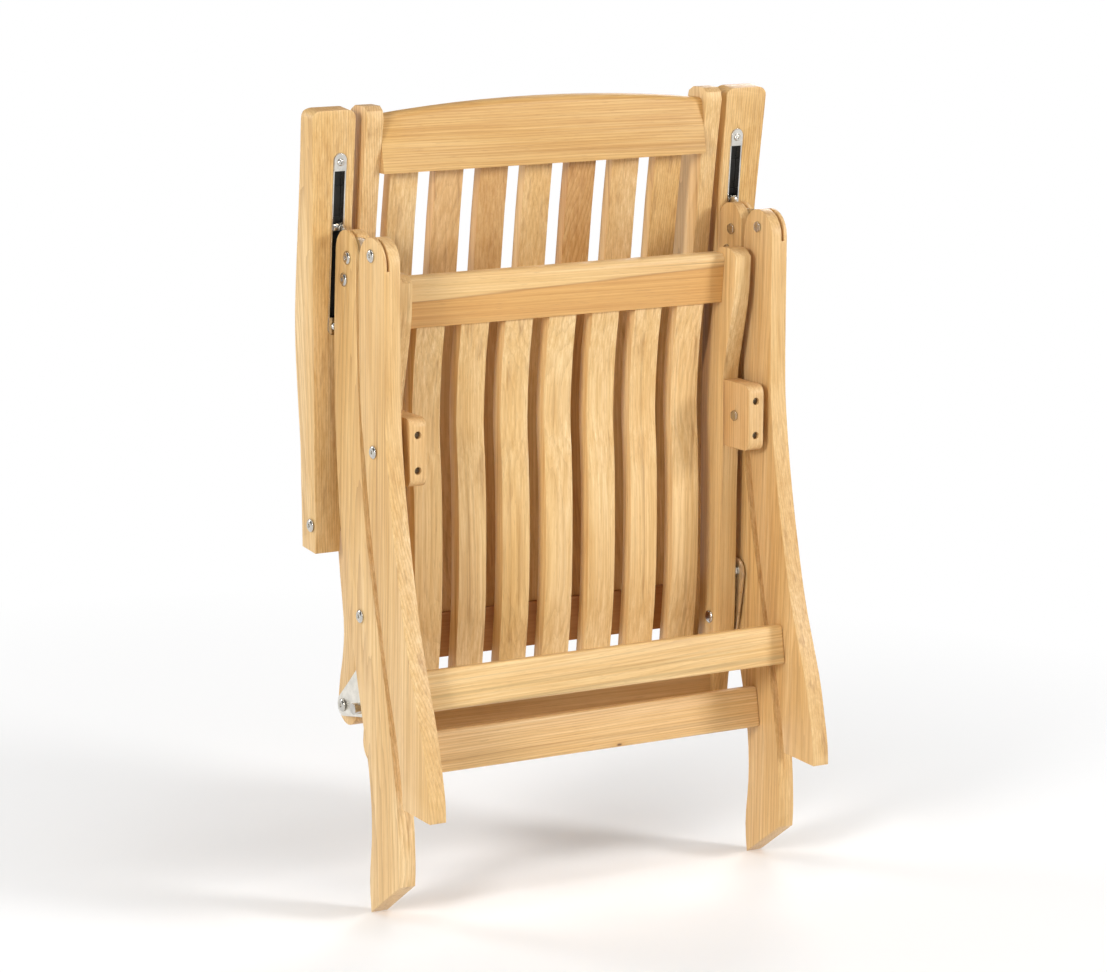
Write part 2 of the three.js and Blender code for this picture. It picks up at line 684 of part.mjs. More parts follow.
// Back
const onBack = (shares) => place(backPivot, stileDepth, stileLength, shares);
const stileFrontShares = [
  [-0.68, 0.05], [-0.79, 0.1], [-0.79, 0.15], [-0.533, 0.255], [-0.42, 0.384], [-0.42, 0.516], [-0.53, 0.648],
  [-0.8, 0.792], [-1.045, 0.905], [-1.245, 0.98],
];
const stileTopShares = [[-1.2, 0.993], [-1.05, 1], [-0.6, 1], [-0.4, 0.993]];
const stileRearShares = [
  [-0.33, 0.982], [-0.11, 0.905], [0.18, 0.792], [0.445, 0.648], [0.578, 0.516], [0.578, 0.384],
  [0.467, 0.255], [0.2, 0.139], [0.26, 0.082], [0.42, 0.04],
];

function backStile() {
  const shape = new THREE.Shape();
  shape.moveTo(backPivot.x - stileEndRadius, backPivot.y);
  splineTo(shape, outline(backPivot, stileDepth, stileLength, stileFrontShares));
  outline(backPivot, stileDepth, stileLength, stileTopShares).forEach((point) => lineTo(shape, point));
  splineTo(shape, [
    ...outline(backPivot, stileDepth, stileLength, stileRearShares),
    new THREE.Vector2(backPivot.x + stileEndRadius, backPivot.y),
  ]);
  roundEnd(shape, backPivot, stileEndRadius, 0, -Math.PI);
  shape.closePath();
  return cut(swept(shape, frameInner, frameHalfWidth), [
    hole(boltDiameter, frameInner, frameHalfWidth, backPivot),
    hole(boltDiameter, frameInner, frameHalfWidth, armPivot),
  ]);
}

const backTopRailShares = [-1.04, 0.9833];
const backTopRailEnd = onBack(backTopRailShares);

// The top rail: its upper edge is lifted along an arc towards the middle of the chair
function backTopRail() {
  const profile = railProfile(
    backTopRailEnd, backTopRailHeight, backTopRailThickness, backTopRailTilt, roundedEdge);
  const geometry = swept(profile, -betweenFrames, betweenFrames, cornerSteps, crownSteps);
  const points = geometry.attributes.position;
  const middleHeight = backTopRailEnd.y - backTopRailHeight / 2;
  for (let i = 0; i < points.count; i += 1) {
    if (points.getZ(i) > middleHeight) {
      const share = points.getX(i) / betweenFrames;
      points.setZ(i, points.getZ(i) + backTopRailRise * (1 - share * share));
    }
  }
  return geometry;
}

const backBottomRailShares = [-0.51, 0.144];
const backBottomRailTop = onBack(backBottomRailShares);
const backBottomRail = () => swept(railProfile(
  backBottomRailTop, backBottomRailHeight, backBottomRailThickness, 0, easedEdge),
  -betweenFrames, betweenFrames);

// The back slats follow the curve of the stiles' front edges, a little behind it
const backSlatShares = [[-0.533, 0.255], [-0.42, 0.384], [-0.42, 0.516], [-0.53, 0.648], [-0.8, 0.792]];
const backSlatBottomShare = -0.667;
const backSlatTopShare = -1.04;
const behindStileFront = (point) => new THREE.Vector2(point.x + backSlatSetback, point.y);
const backSlat = (middle) => slat(
  outline(backPivot, stileDepth, stileLength, backSlatShares).map(behindStileFront),
  behindStileFront(new THREE.Vector2(onBack([backSlatBottomShare, 0]).x, backBottomRailTop.y + fit)),
  behindStileFront(new THREE.Vector2(
    onBack([backSlatTopShare, 0]).x, backTopRailEnd.y - backTopRailHeight - fit)),
  backSlatThickness, backSlatWidth, middle);

// Armrests. They are drawn upright from the arm pivot and then leant so that the slider lies in the track.
// In this frame the underside is the line at depth -armPivotInset.
const toSlider = slider.clone().sub(armPivot);
const sliderAngle = Math.asin((armPivotInset - sliderDepth) / toSlider.length());
const armLean = Math.atan2(-toSlider.x, toSlider.y) - sliderAngle;
const sliderAlongArm = toSlider.length() * Math.cos(sliderAngle);
const trackBottom = sliderAlongArm - trackTail;
const trackTop = trackBottom + trackLength;
const armFront = trackTop + armNose;
const armLength = armTail + armFront;
const armBottom = new THREE.Vector2(-armPivotInset, -armTail);
const armTopShares = [
  [0.7, 0], [0.74, 0.104], [0.74, 0.224], [0.89, 0.354], [1, 0.473], [0.91, 0.603], [0.76, 0.763],
  [0.65, 0.886], [0.6, 0.96],
];
const armOuterShares = [
  [0.566, 0], [0.604, 0.096], [0.65, 0.168], [0.7, 0.283], [0.774, 0.467], [0.84, 0.579], [0.925, 0.8],
  [0.99, 0.95],
];
const armFrontShares = [[0.5, 1], [0.57, 0.993]];

function armrest() {
  const side = new THREE.Shape();
  side.moveTo(-armPivotInset, -armTail);
  side.lineTo(-armPivotInset, armFront);
  outline(armBottom, armThickness, armLength, armFrontShares).forEach((point) => lineTo(side, point));
  splineTo(side, outline(armBottom, armThickness, armLength, armTopShares).reverse());
  side.closePath();
  const across = swept(side, armInner - overrun, armInner + armWidth + overrun);

  const plan = new THREE.Shape();
  const innerBottom = new THREE.Vector2(armInner, -armTail);
  const [tailCorner, ...outerEdge] = outline(innerBottom, armWidth, armLength, armOuterShares);
  const cornerHeight = armFront - armCornerRadius;
  plan.moveTo(armInner, -armTail);
  lineTo(plan, tailCorner);
  splineTo(plan, outerEdge);
  plan.absarc(armInner + armWidth - armCornerRadius, cornerHeight, armCornerRadius, 0, Math.PI / 2, false);
  plan.absarc(armInner + armCornerRadius, cornerHeight, armCornerRadius, Math.PI / 2, Math.PI, false);
  plan.closePath();
  const body = common(across, deepened(plan, mouth - overrun, mouth + armThickness + overrun, cornerSteps));

  const groove = deepened(
    barShape(trackWidth / 2 + fit, trackBottom - fit, trackTop + fit), mouth - overrun, mouth + trackDepth + fit);
  const bore = hole(boltDiameter, armInner, armInner + armWidth, floor);
  return cut(body, [groove, bore, ...trackScrewBores()]);
}

// A shape drawn across and along the armrest, given depth from one distance to another
function deepened(shape, from, to, curveSegments = capSteps) {
  return new THREE.ExtrudeGeometry(shape, { depth: to - from, bevelEnabled: false, curveSegments })
    .rotateX(Math.PI / 2)
    .translate(0, to, 0);
}

// A bar along the track, with a half-round end where one is asked for
function barShape(half, bottom, top, roundBottom = true, roundTop = true) {
  const shape = new THREE.Shape();
  const corners = (height, side) => [
    new THREE.Vector2(trackMiddle + side, height), new THREE.Vector2(trackMiddle - side, height)];
  const [firstTop, lastTop] = corners(roundTop ? top - half : top, half);
  const [firstBottom, lastBottom] = corners(roundBottom ? bottom + half : bottom, -half);
  shape.moveTo(firstTop.x, firstTop.y);
  if (roundTop) shape.absarc(trackMiddle, top - half, half, 0, Math.PI, false);
  lineTo(shape, lastTop);
  lineTo(shape, firstBottom);
  if (roundBottom) shape.absarc(trackMiddle, bottom + half, half, Math.PI, 2 * Math.PI, false);
  lineTo(shape, lastBottom);
  shape.closePath();
  return shape;
}

function boxBetween([x0, y0, z0], [x1, y1, z1]) {
  return new THREE.BoxGeometry(x1 - x0, y1 - y0, z1 - z0)
    .translate((x0 + x1) / 2, (y0 + y1) / 2, (z0 + z1) / 2);
}

// The steel channel let into the armrest's underside, open towards the leg, with a lipped cap at each end
const mouth = -armPivotInset;
const capScrewHeights = [trackBottom + capLength / 2, trackTop - capLength / 2];
const trackScrewTip = mouth + trackScrewLength;
const trackScrewBores = () => capScrewHeights.map((height) =>
  alongDepth(screwDiameter + 2 * fit, mouth - overrun, trackScrewTip, trackMiddle, height));

function armTrack() {
  const half = trackWidth / 2;
  const outer = deepened(barShape(half, trackBottom, trackTop), mouth, mouth + trackDepth);
  const channel = boxBetween(
    [trackMiddle - trackInnerHalf, mouth - overrun, trackBottom + capLength],
    [trackMiddle + trackInnerHalf, mouth + trackDepth - trackWall, trackTop - capLength]);
  const lowerLip = barShape(half - fit, trackBottom + fit, trackBottom + capLength - fit, true, false);
  const upperLip = barShape(half - fit, trackTop - capLength + fit, trackTop - fit, false, true);
  const lips = [lowerLip, upperLip].map((lip) => deepened(lip, mouth - capLip, mouth + trackWall));
  return cut(join([cut(outer, [channel]), ...lips]), trackScrewBores());
}

// The black liner on the channel's floor, with a shallow notch for each reclining position
function trackLiner() {
  const half = trackInnerHalf - fit;
  const back = mouth + trackDepth - trackWall - fit;
  const front = back - linerThickness;
  const body = boxBetween(
    [trackMiddle - half, front, trackBottom + capLength + fit],
    [trackMiddle + half, back, trackTop - capLength - fit]);
  const middle = (trackBottom + trackTop) / 2;
  const notches = Array.from({ length: linerNotchCount }, (_, i) => {
    const height = middle + (i - (linerNotchCount - 1) / 2) * linerNotchPitch;
    return boxBetween(
      [trackMiddle - half - overrun, front - overrun, height - linerNotchWidth / 2],
      [trackMiddle + half + overrun, front + linerNotchDepth, height + linerNotchWidth / 2]);
  });
  return cut(body, notches);
}

const armBoltSeatShare = 0.606;
const armOuterAtPivot = armInner + armWidth * armBoltSeatShare;

// The parts, gathered by what they hang on
const chair = new THREE.Group();
const armGroup = new THREE.Group();
armGroup.position.set(0, armPivot.x, armPivot.y);
armGroup.rotation.x = armLean;
chair.add(armGroup);

function add(name, geometry, material, parent = chair) {
  const mesh = new THREE.Mesh(facingOut(geometry), material.clone());
  mesh.name = name;
  parent.add(mesh);
}

function addBothSides(name, geometry, material, parent = chair) {
  add(`${name}_right`, geometry, material, parent);
  add(`${name}_left`, mirrored(geometry), material, parent);
}

addBothSides('rear_leg', rearLeg(), legTeak);
add('rear_stretcher', rearStretcher(), legTeak);
addBothSides('hinge_tongue', tongue(), steel);
addBothSides('track_slider', trackSlider(), steel);
addBothSides('link_leg_bolt', bolt(
  boltDiameter, legOuter, plateInner, linkPivot, [[plateOuter, legInner]]), steel);

addBothSides('front_leg', frontLeg(), legTeak);
add('front_stretcher', frontStretcher(), legTeak);
addBothSides('leg_hinge_bolt', bolt(smallBoltDiameter, legOuter, legInner, hinge), steel);
addBothSides('seat_pivot_bolt', bolt(boltDiameter, legOuter, frameInner, seatPivot), steel);
addBothSides('seat_pivot_spacer', ring(
  spacerDiameter, boltDiameter, frameHalfWidth + fit, legInner - fit, seatPivot), brass);

addBothSides('seat_rail', seatRail(), frameTeak);
add('seat_front_rail', seatFrontRail(), frameTeak);
add('seat_rear_rail', seatRearRail(), frameTeak);
slatPlaces(seatSlatWidth, seatSlatEndGap)
  .forEach((middle, i) => add(`seat_slat_${i + 1}`, seatSlat(middle), slatTeak));
addBothSides('pivot_block', pivotBlock(), frameTeak);
addBothSides('link_seat_bolt', seatLinkBolt(), steel);

addBothSides('link_plate', linkPlate(), steel);
addBothSides('stop_pin', stopPinPiece(), steel);
addBothSides('back_pivot_bolt', bolt(
  boltDiameter, plateOuter, frameInner, backPivot, [[frameHalfWidth, plateInner]]), steel);

addBothSides('back_stile', backStile(), frameTeak);
add('back_top_rail', backTopRail(), frameTeak);
add('back_bottom_rail', backBottomRail(), frameTeak);
slatPlaces(backSlatWidth, backSlatEndGap)
  .forEach((middle, i) => add(`back_slat_${i + 1}`, backSlat(middle), slatTeak));

addBothSides('arm_pivot_bolt', bolt(boltDiameter, armOuterAtPivot, frameInner, armPivot), steel);
addBothSides('arm_pivot_spacer', ring(
  spacerDiameter, boltDiameter, frameHalfWidth + fit, armInner - fit, armPivot), steel);

addBothSides('armrest', armrest(), armTeak, armGroup);
addBothSides('arm_track', armTrack(), steel, armGroup);
addBothSides('track_liner', trackLiner(), blackPlastic, armGroup);

// The origin is the middle of the chair's footprint, on the floor
chair.updateMatrixWorld(true);
const extent = new THREE.Box3().setFromObject(chair, true);
chair.position.set(0, -(extent.min.y + extent.max.y) / 2, -extent.min.z);

export default chair;
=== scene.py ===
import math
import bmesh
import bpy
from mathutils import Matrix, Vector


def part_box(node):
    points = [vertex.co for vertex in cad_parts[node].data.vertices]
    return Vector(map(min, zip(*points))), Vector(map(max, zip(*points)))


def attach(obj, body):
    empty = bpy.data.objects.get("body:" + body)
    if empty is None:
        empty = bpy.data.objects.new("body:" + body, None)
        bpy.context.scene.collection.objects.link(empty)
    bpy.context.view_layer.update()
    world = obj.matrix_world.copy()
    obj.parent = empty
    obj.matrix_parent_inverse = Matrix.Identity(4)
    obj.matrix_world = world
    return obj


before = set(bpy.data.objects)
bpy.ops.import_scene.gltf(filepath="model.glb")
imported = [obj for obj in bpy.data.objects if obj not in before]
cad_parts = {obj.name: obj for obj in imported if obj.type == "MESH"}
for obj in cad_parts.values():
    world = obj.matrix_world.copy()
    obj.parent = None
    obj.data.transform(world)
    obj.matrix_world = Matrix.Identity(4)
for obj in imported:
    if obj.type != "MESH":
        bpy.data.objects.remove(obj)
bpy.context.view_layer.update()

# Lengths are in metres, in the frame's own coordinates
MM = 0.001
WELD_REACH = 0.01 * MM
ROUNDOVER = 3.0 * MM
SLAT_ROUNDOVER = 1.8 * MM
METAL_ROUNDOVER = 0.45 * MM
WOOD_SEGMENTS = 3
METAL_SEGMENTS = 2

# Edges sharper than the first two are rounded over, and edges flatter than the third are shaded smooth
WOOD_CORNER = math.radians(35.0)
METAL_CORNER = math.radians(30.0)
SHALLOW_CORNER = math.radians(32.0)

# The camera of the photograph
TURN = math.radians(30.0)
TILT = math.radians(11.217)
ROLL = math.radians(0.177)
DISTANCE = 4.68564
LENS = 134.41
SENSOR = 36.0
TARGET = (0.0, 0.041993, 0.452)

# The small screws: the blocks' are sunk in the blocks, the tracks' hold the end caps. Head and shank are
# radii.
BLOCK_SCREW = {"head": 3.7 * MM, "height": 2.2 * MM, "shank": 2.0 * MM, "length": 60.0 * MM}
BLOCK_SCREW_X = 218.0 * MM
BLOCK_SCREW_HEIGHTS = {"upper": 543.5 * MM, "lower": 504.0 * MM}
BLOCK_SCREW_SEAT = -36.03 * MM
TRACK_SCREW = {"head": 4.0 * MM, "height": 2.2 * MM, "shank": 2.1 * MM, "length": 20.5 * MM}
TRACK_SCREW_X = 256.0 * MM
TRACK_SCREW_PLACES = {"lower": 230.4 * MM, "upper": 414.4 * MM}
TRACK_SCREW_SEAT = -10.2 * MM
ARM_PIVOT = (114.008 * MM, 420.758 * MM)
ARM_LEAN = math.radians(5.42)

# A screw's shape: its tip as a share of the shank, its head's outline as shares of radius and height, and its
# cross at the mouth and the floor as shares of radius (reach and half width) and height
SCREW_SIDES = 24
SCREW_TIP = 0.35
HEAD_OUTLINE = ((1.0, 0.0), (1.0, 0.3), (0.93, 0.58), (0.78, 0.84), (0.58, 1.0))
CROSS_MOUTH = (0.46, 0.11, 1.0)
CROSS_FLOOR = (0.36, 0.09, 0.3)

# The repeatable draws behind each board's own grain
DRAW_SPREAD = 7919
DRAW_START = 104729
DRAW_FACTOR = 1103
DRAW_STEP = 12345
DRAW_MODULUS = 65521
DRAWS_PER_BOARD = 8
FIRST_SEED = 11
SEED_STEP = 5

# Where a board lies in its log. A pair is the least and the spread of what is drawn for each board.
GRAIN_TIP_DEGREES = (0.5, 1.0)
GRAIN_LEAN_DEGREES = (0.4, 0.8)
HEART_NEAR = 0.035
HEART_SPREAD = 0.16
HEART_DRAW = (0.6, 0.4)
LOG_LENGTH = 3.0
PLAIN_FIGURE = 0.1
TONE_DRAW = (0.02, 0.2)
ROSE_DRAW = (0.0, 0.15)

# Noises: cycles per metre along each axis, detail and roughness. Along a board is the third axis.
WANDER = ((7.0, 7.0, 1.7), 2.0, 0.5)
UNEVEN = ((55.0, 55.0, 1.0), 2.0, 0.5)
THREADS = ((330.0, 330.0, 2.6), 3.0, 0.6)
FIBRES = ((900.0, 900.0, 11.0), 3.0, 0.6)
PORES = ((1700.0, 1700.0, 60.0), 1.0, 0.5)
CLOUDS = ((16.0, 16.0, 1.3), 3.0, 0.55)
STREAKS = ((110.0, 110.0, 0.8), 2.0, 0.7)
MOTTLES = ((50.0, 50.0, 9.0), 2.0, 0.5)
TURNED_LINES = ((700.0, 700.0, 60.0), 3.0, 0.65)
ROLLED_LINES = ((60.0, 900.0, 900.0), 3.0, 0.65)
METAL_PATCHES = ((90.0, 90.0, 90.0), 3.0, 0.6)
NYLON_GRAIN = ((1400.0, 1400.0, 1400.0), 2.0, 0.5)
NYLON_DUST = ((60.0, 60.0, 60.0), 3.0, 0.6)

# Ranges: from and to on what goes in and, where two more stand, from and to on what comes out
TINT_RANGE = (0.3, 0.7)
PORE_RANGE = (0.62, 0.74)
HONEY_RANGE = (0.34, 0.68)
AMBER_RANGE = (0.3, 0.75, 0.7, 1.0)
STREAK_RANGE = (0.56, 0.76)
END_GRAIN_RANGE = (0.6, 0.97)
RUBBED_RANGE = (0.52, 0.62)
WOOD_ROUGHNESS = (0.25, 0.75, 0.38, 0.54)
PATCH_RANGE = (0.35, 0.75)
SCRATCH_RANGE = (0.25, 0.75)
DUST_RANGE = (0.5, 0.8)
NYLON_ROUGHNESS = (0.3, 0.7, 0.3, 0.5)

# Growth lines: their pitch, how far they wander, how uneven they are, and how late wood darkens them.
# Wander and darkness are at no figure, and what the full figure adds.
RING_PITCH = 3.1 * MM
WANDER_REACH = (0.01, 0.026)
RING_UNEVENNESS = 2.4
LATE_WOOD_SHARPNESS = 3.5
LATE_WOOD_SHARE = (0.12, 0.5)

# How strongly each mark of the wood shows, from 0 to 1
STREAK_SHARE = 0.5
PORE_SHARE = 0.3
END_GRAIN_SHARE = 0.3
RUBBED_SHARE = 0.2

# A board with two colours: how ragged their line is, its blend and its dark edge, the streaks below and above
# it, how orange the lower part is, and how far down the line runs at either end, as shares of the height
SPLIT_RAGGEDNESS = 4.0 * MM
SPLIT_BLEND = (-0.7 * MM, 0.9 * MM)
SPLIT_EDGE = (0.4 * MM, 1.8 * MM, 0.5, 0.0)
SPLIT_STREAKS = (0.0, 1.0, 0.4, 2.2)
SPLIT_SHARE = 0.8
SPLIT_LEFT_DROP = 0.5
SPLIT_RIGHT_DROP = 0.26

# A knot: its place as shares of the board, its radius, how flat it is, and how wide and strong its halo and
# its core are
KNOT_PLACE = (0.6, 0.12)
KNOT_RADIUS = 2.0 * MM
KNOT_FLATNESS = 0.45
KNOT_HALO_REACH = 3.2
KNOT_HALO_SHARE = 0.35
KNOT_CORE_REACH = 0.4
KNOT_CORE_SHARE = 0.95

# Relief: strength and depth. Fibres rise, and pores and late wood sink, by these shares of the depth.
WOOD_BUMP = (0.3, 0.3 * MM)
METAL_BUMP = (0.12, 0.05 * MM)
NYLON_BUMP = (0.2, 0.05 * MM)
FIBRE_HEIGHT = 0.4
PORE_DEPTH = 0.5
LATE_WOOD_DEPTH = 0.15

# Shine: how much wood reflects, how dark the dull patches of metal are, and how far its roughness spreads
# round the value it is given
WOOD_SPECULAR = 0.4
PATCH_SHADE = 0.76
ROUGHNESS_SPREAD = (0.75, 1.35)

# The studio. Metal mirrors a room with dark walls between a white floor and a white ceiling.
FLOOR_SIZE = 60.0
FLOOR_DROP = 0.5 * MM
FLOOR_WHITE = 0.97
FLOOR_ROUGHNESS = 0.9
FLOOR_STRETCH = (1.0, 0.8, 0.0)
FLOOR_FADE = (0.45, 1.3)
WALL_FOOT = (0.04, 0.12, 1.0, 0.12)
CEILING_EDGE = (0.6, 0.75)
FILL_STRENGTH = 0.19
MIDDLE = (0.0, 0.0, 0.45)

# Lamps: place, diameter and power
LAMPS = {
    "key": ((2.4, -2.9, 2.0), 1.1, 86.0),
    "left": ((-3.3, -1.8, 1.7), 1.2, 88.0),
    "top": ((0.0, -0.7, 3.4), 1.4, 24.0),
    "rim_right": ((2.4, 2.4, 2.0), 1.4, 42.0),
    "rim_left": ((-2.2, 2.8, 1.8), 1.4, 34.0),
}


def linear(red, green, blue):
    """A colour written as 0 to 255, as a picture shows it, in linear light by the sRGB curve."""
    def one(value):
        share = value / 255.0
        return share / 12.92 if share <= 0.04045 else ((share + 0.055) / 1.055) ** 2.4
    return (one(red), one(green), one(blue))


def opaque(colour):
    return (*colour, 1.0)


# Colours of teak
PALE = opaque(linear(246, 212, 157))
HONEY = opaque(linear(232, 190, 124))
AMBER = opaque(linear(203, 150, 74))
ORANGE = opaque(linear(210, 150, 74))
ROSE = opaque(linear(224, 178, 130))
# Painted shade: the red brown that boards lying in shade are darkened towards
PAINTED_SHADE_BROWN = opaque(linear(168, 104, 50))
BROWN = opaque(linear(156, 100, 48))
GREY_STREAK = opaque(linear(128, 100, 68))
PORE = opaque(linear(138, 92, 52))
KNOT = opaque(linear(112, 72, 44))

# Tints that the wood's colour is multiplied by, the dark one and the light one
THREAD_TINTS = (opaque((0.86, 0.79, 0.68)), opaque((1.05, 1.12, 1.24)))
FIBRE_TINTS = (opaque((0.89, 0.85, 0.78)), opaque((1.02, 1.08, 1.15)))
MOTTLE_TINTS = (opaque((0.96, 0.94, 0.9)), opaque((1.02, 1.04, 1.06)))

# Colours of the rest
SATIN_STEEL = linear(208, 204, 196)
PLATE_STEEL = linear(238, 233, 222)
BRIGHT_STEEL = linear(220, 216, 208)
DULL_STEEL = linear(120, 104, 82)
PLAIN_BRASS = linear(214, 176, 96)
BLACK_NYLON = opaque((0.007, 0.007, 0.007))
DUSTY_NYLON = opaque((0.03, 0.027, 0.024))
WHITE = opaque((1.0, 1.0, 1.0))


# Node helpers
class Graph:
    """A small wrapper that adds shader nodes and links them. A value may be a number or another's output."""

    def __init__(self, tree):
        self.tree = tree

    def add(self, kind, **settings):
        node = self.tree.nodes.new(kind)
        for key, value in settings.items():
            setattr(node, key, value)
        return node

    def link(self, source, target):
        self.tree.links.new(source, target)

    def feed(self, socket, value):
        if isinstance(value, bpy.types.NodeSocket):
            self.link(value, socket)
        else:
            socket.default_value = value

    def maths(self, operation, first, second=0.0):
        node = self.add("ShaderNodeMath", operation=operation)
        self.feed(node.inputs[0], first)
        self.feed(node.inputs[1], second)
        return node.outputs[0]

    def times(self, first, second):
        return self.maths("MULTIPLY", first, second)

    def vector(self, operation, first, second=(0.0, 0.0, 0.0)):
        node = self.add("ShaderNodeVectorMath", operation=operation)
        self.feed(node.inputs[0], first)
        self.feed(node.inputs[1], second)
        gives_number = operation in ("DOT_PRODUCT", "LENGTH", "DISTANCE")
        return node.outputs["Value"] if gives_number else node.outputs[0]

    def split(self, vector):
        node = self.add("ShaderNodeSeparateXYZ")
        self.link(vector, node.inputs[0])
        return node.outputs

    def noise(self, place, cycles, detail, roughness):
        node = self.add("ShaderNodeTexNoise")
        self.link(self.vector("MULTIPLY", place, cycles), node.inputs["Vector"])
        node.inputs["Scale"].default_value = 1.0
        node.inputs["Detail"].default_value = detail
        node.inputs["Roughness"].default_value = roughness
        return node

    def grains(self, place, noise):
        return self.noise(place, *noise).outputs["Fac"]

    def span(self, factor, low, high, to_low=0.0, to_high=1.0):
        node = self.add("ShaderNodeMapRange", clamp=True)
        self.feed(node.inputs["Value"], factor)
        node.inputs["From Min"].default_value = low
        node.inputs["From Max"].default_value = high
        node.inputs["To Min"].default_value = to_low
        node.inputs["To Max"].default_value = to_high
        return node.outputs["Result"]

    def mix(self, factor, first, second, blend="MIX"):
        node = self.add("ShaderNodeMix", data_type="RGBA", blend_type=blend)
        self.feed(node.inputs["Factor"], factor)
        self.feed(node.inputs["A"], first)
        self.feed(node.inputs["B"], second)
        return node.outputs["Result"]

    def shade(self, base, factor, tints):
        """Multiplies base by a tint that goes from dark to light as factor goes through its middle range."""
        tint = self.mix(self.span(factor, *TINT_RANGE), *tints)
        return self.mix(1.0, base, tint, "MULTIPLY")

    def bump(self, shader, height, strength, distance):
        node = self.add("ShaderNodeBump")
        node.inputs["Strength"].default_value = strength
        node.inputs["Distance"].default_value = distance
        self.link(height, node.inputs["Height"])
        self.link(node.outputs["Normal"], shader.inputs["Normal"])


def fresh_material(name):
    material = bpy.data.materials.new(name)
    material.use_nodes = True
    return material, Graph(material.node_tree), material.node_tree.nodes["Principled BSDF"]


def drawn(seed, count):
    """Repeatable shares from 0 to 1 for one piece."""
    value = (seed * DRAW_SPREAD + DRAW_START) % DRAW_MODULUS
    shares = []
    for _ in range(count):
        value = (value * DRAW_FACTOR + DRAW_STEP) % DRAW_MODULUS
        shares.append(value / DRAW_MODULUS)
    return shares


def within(least_and_spread, share):
    least, spread = least_and_spread
    return least + spread * share


# Wood
def place_in_log(graph, here, along, shares, figure):
    """A board's own coordinates, turned and moved so that its grain runs along Z, the heart of the log."""
    tip, tip_side, lean, lean_side, depth, bearing, start = shares
    tip = math.radians(within(GRAIN_TIP_DEGREES, tip)) * (1 if tip_side > 0.5 else -1)
    lean = math.radians(within(GRAIN_LEAN_DEGREES, lean)) * (1 if lean_side > 0.5 else -1)
    heart = HEART_NEAR + HEART_SPREAD * (1.0 - figure) * within(HEART_DRAW, depth)
    bearing = 2 * math.pi * bearing
    turned = graph.add("ShaderNodeMapping")
    graph.link(here.outputs["Object"], turned.inputs["Vector"])
    if along == "X":
        turned.inputs["Rotation"].default_value = (0.0, math.radians(90.0) + tip, lean)
    else:
        turned.inputs["Rotation"].default_value = (tip, lean, 0.0)
    turned.inputs["Location"].default_value = (
        heart * math.cos(bearing), heart * math.sin(bearing), LOG_LENGTH * start)
    return turned.outputs["Vector"]


def late_wood(graph, place, figure):
    """Growth lines round the heart, which wander slowly along the board."""
    reach = within(WANDER_REACH, figure)
    wander = graph.noise(place, *WANDER).outputs["Color"]
    push = graph.vector("SUBTRACT", wander, (0.5, 0.5, 0.5))
    bent = graph.vector("ADD", place, graph.vector("MULTIPLY", push, (reach, reach, 0.0)))
    across = graph.vector("LENGTH", graph.vector("MULTIPLY", bent, (1.0, 1.0, 0.0)))
    uneven = graph.times(graph.grains(place, UNEVEN), RING_UNEVENNESS)
    count = graph.maths("ADD", graph.maths("DIVIDE", across, RING_PITCH), uneven)
    return graph.maths("POWER", graph.maths("FRACT", count), LATE_WOOD_SHARPNESS)


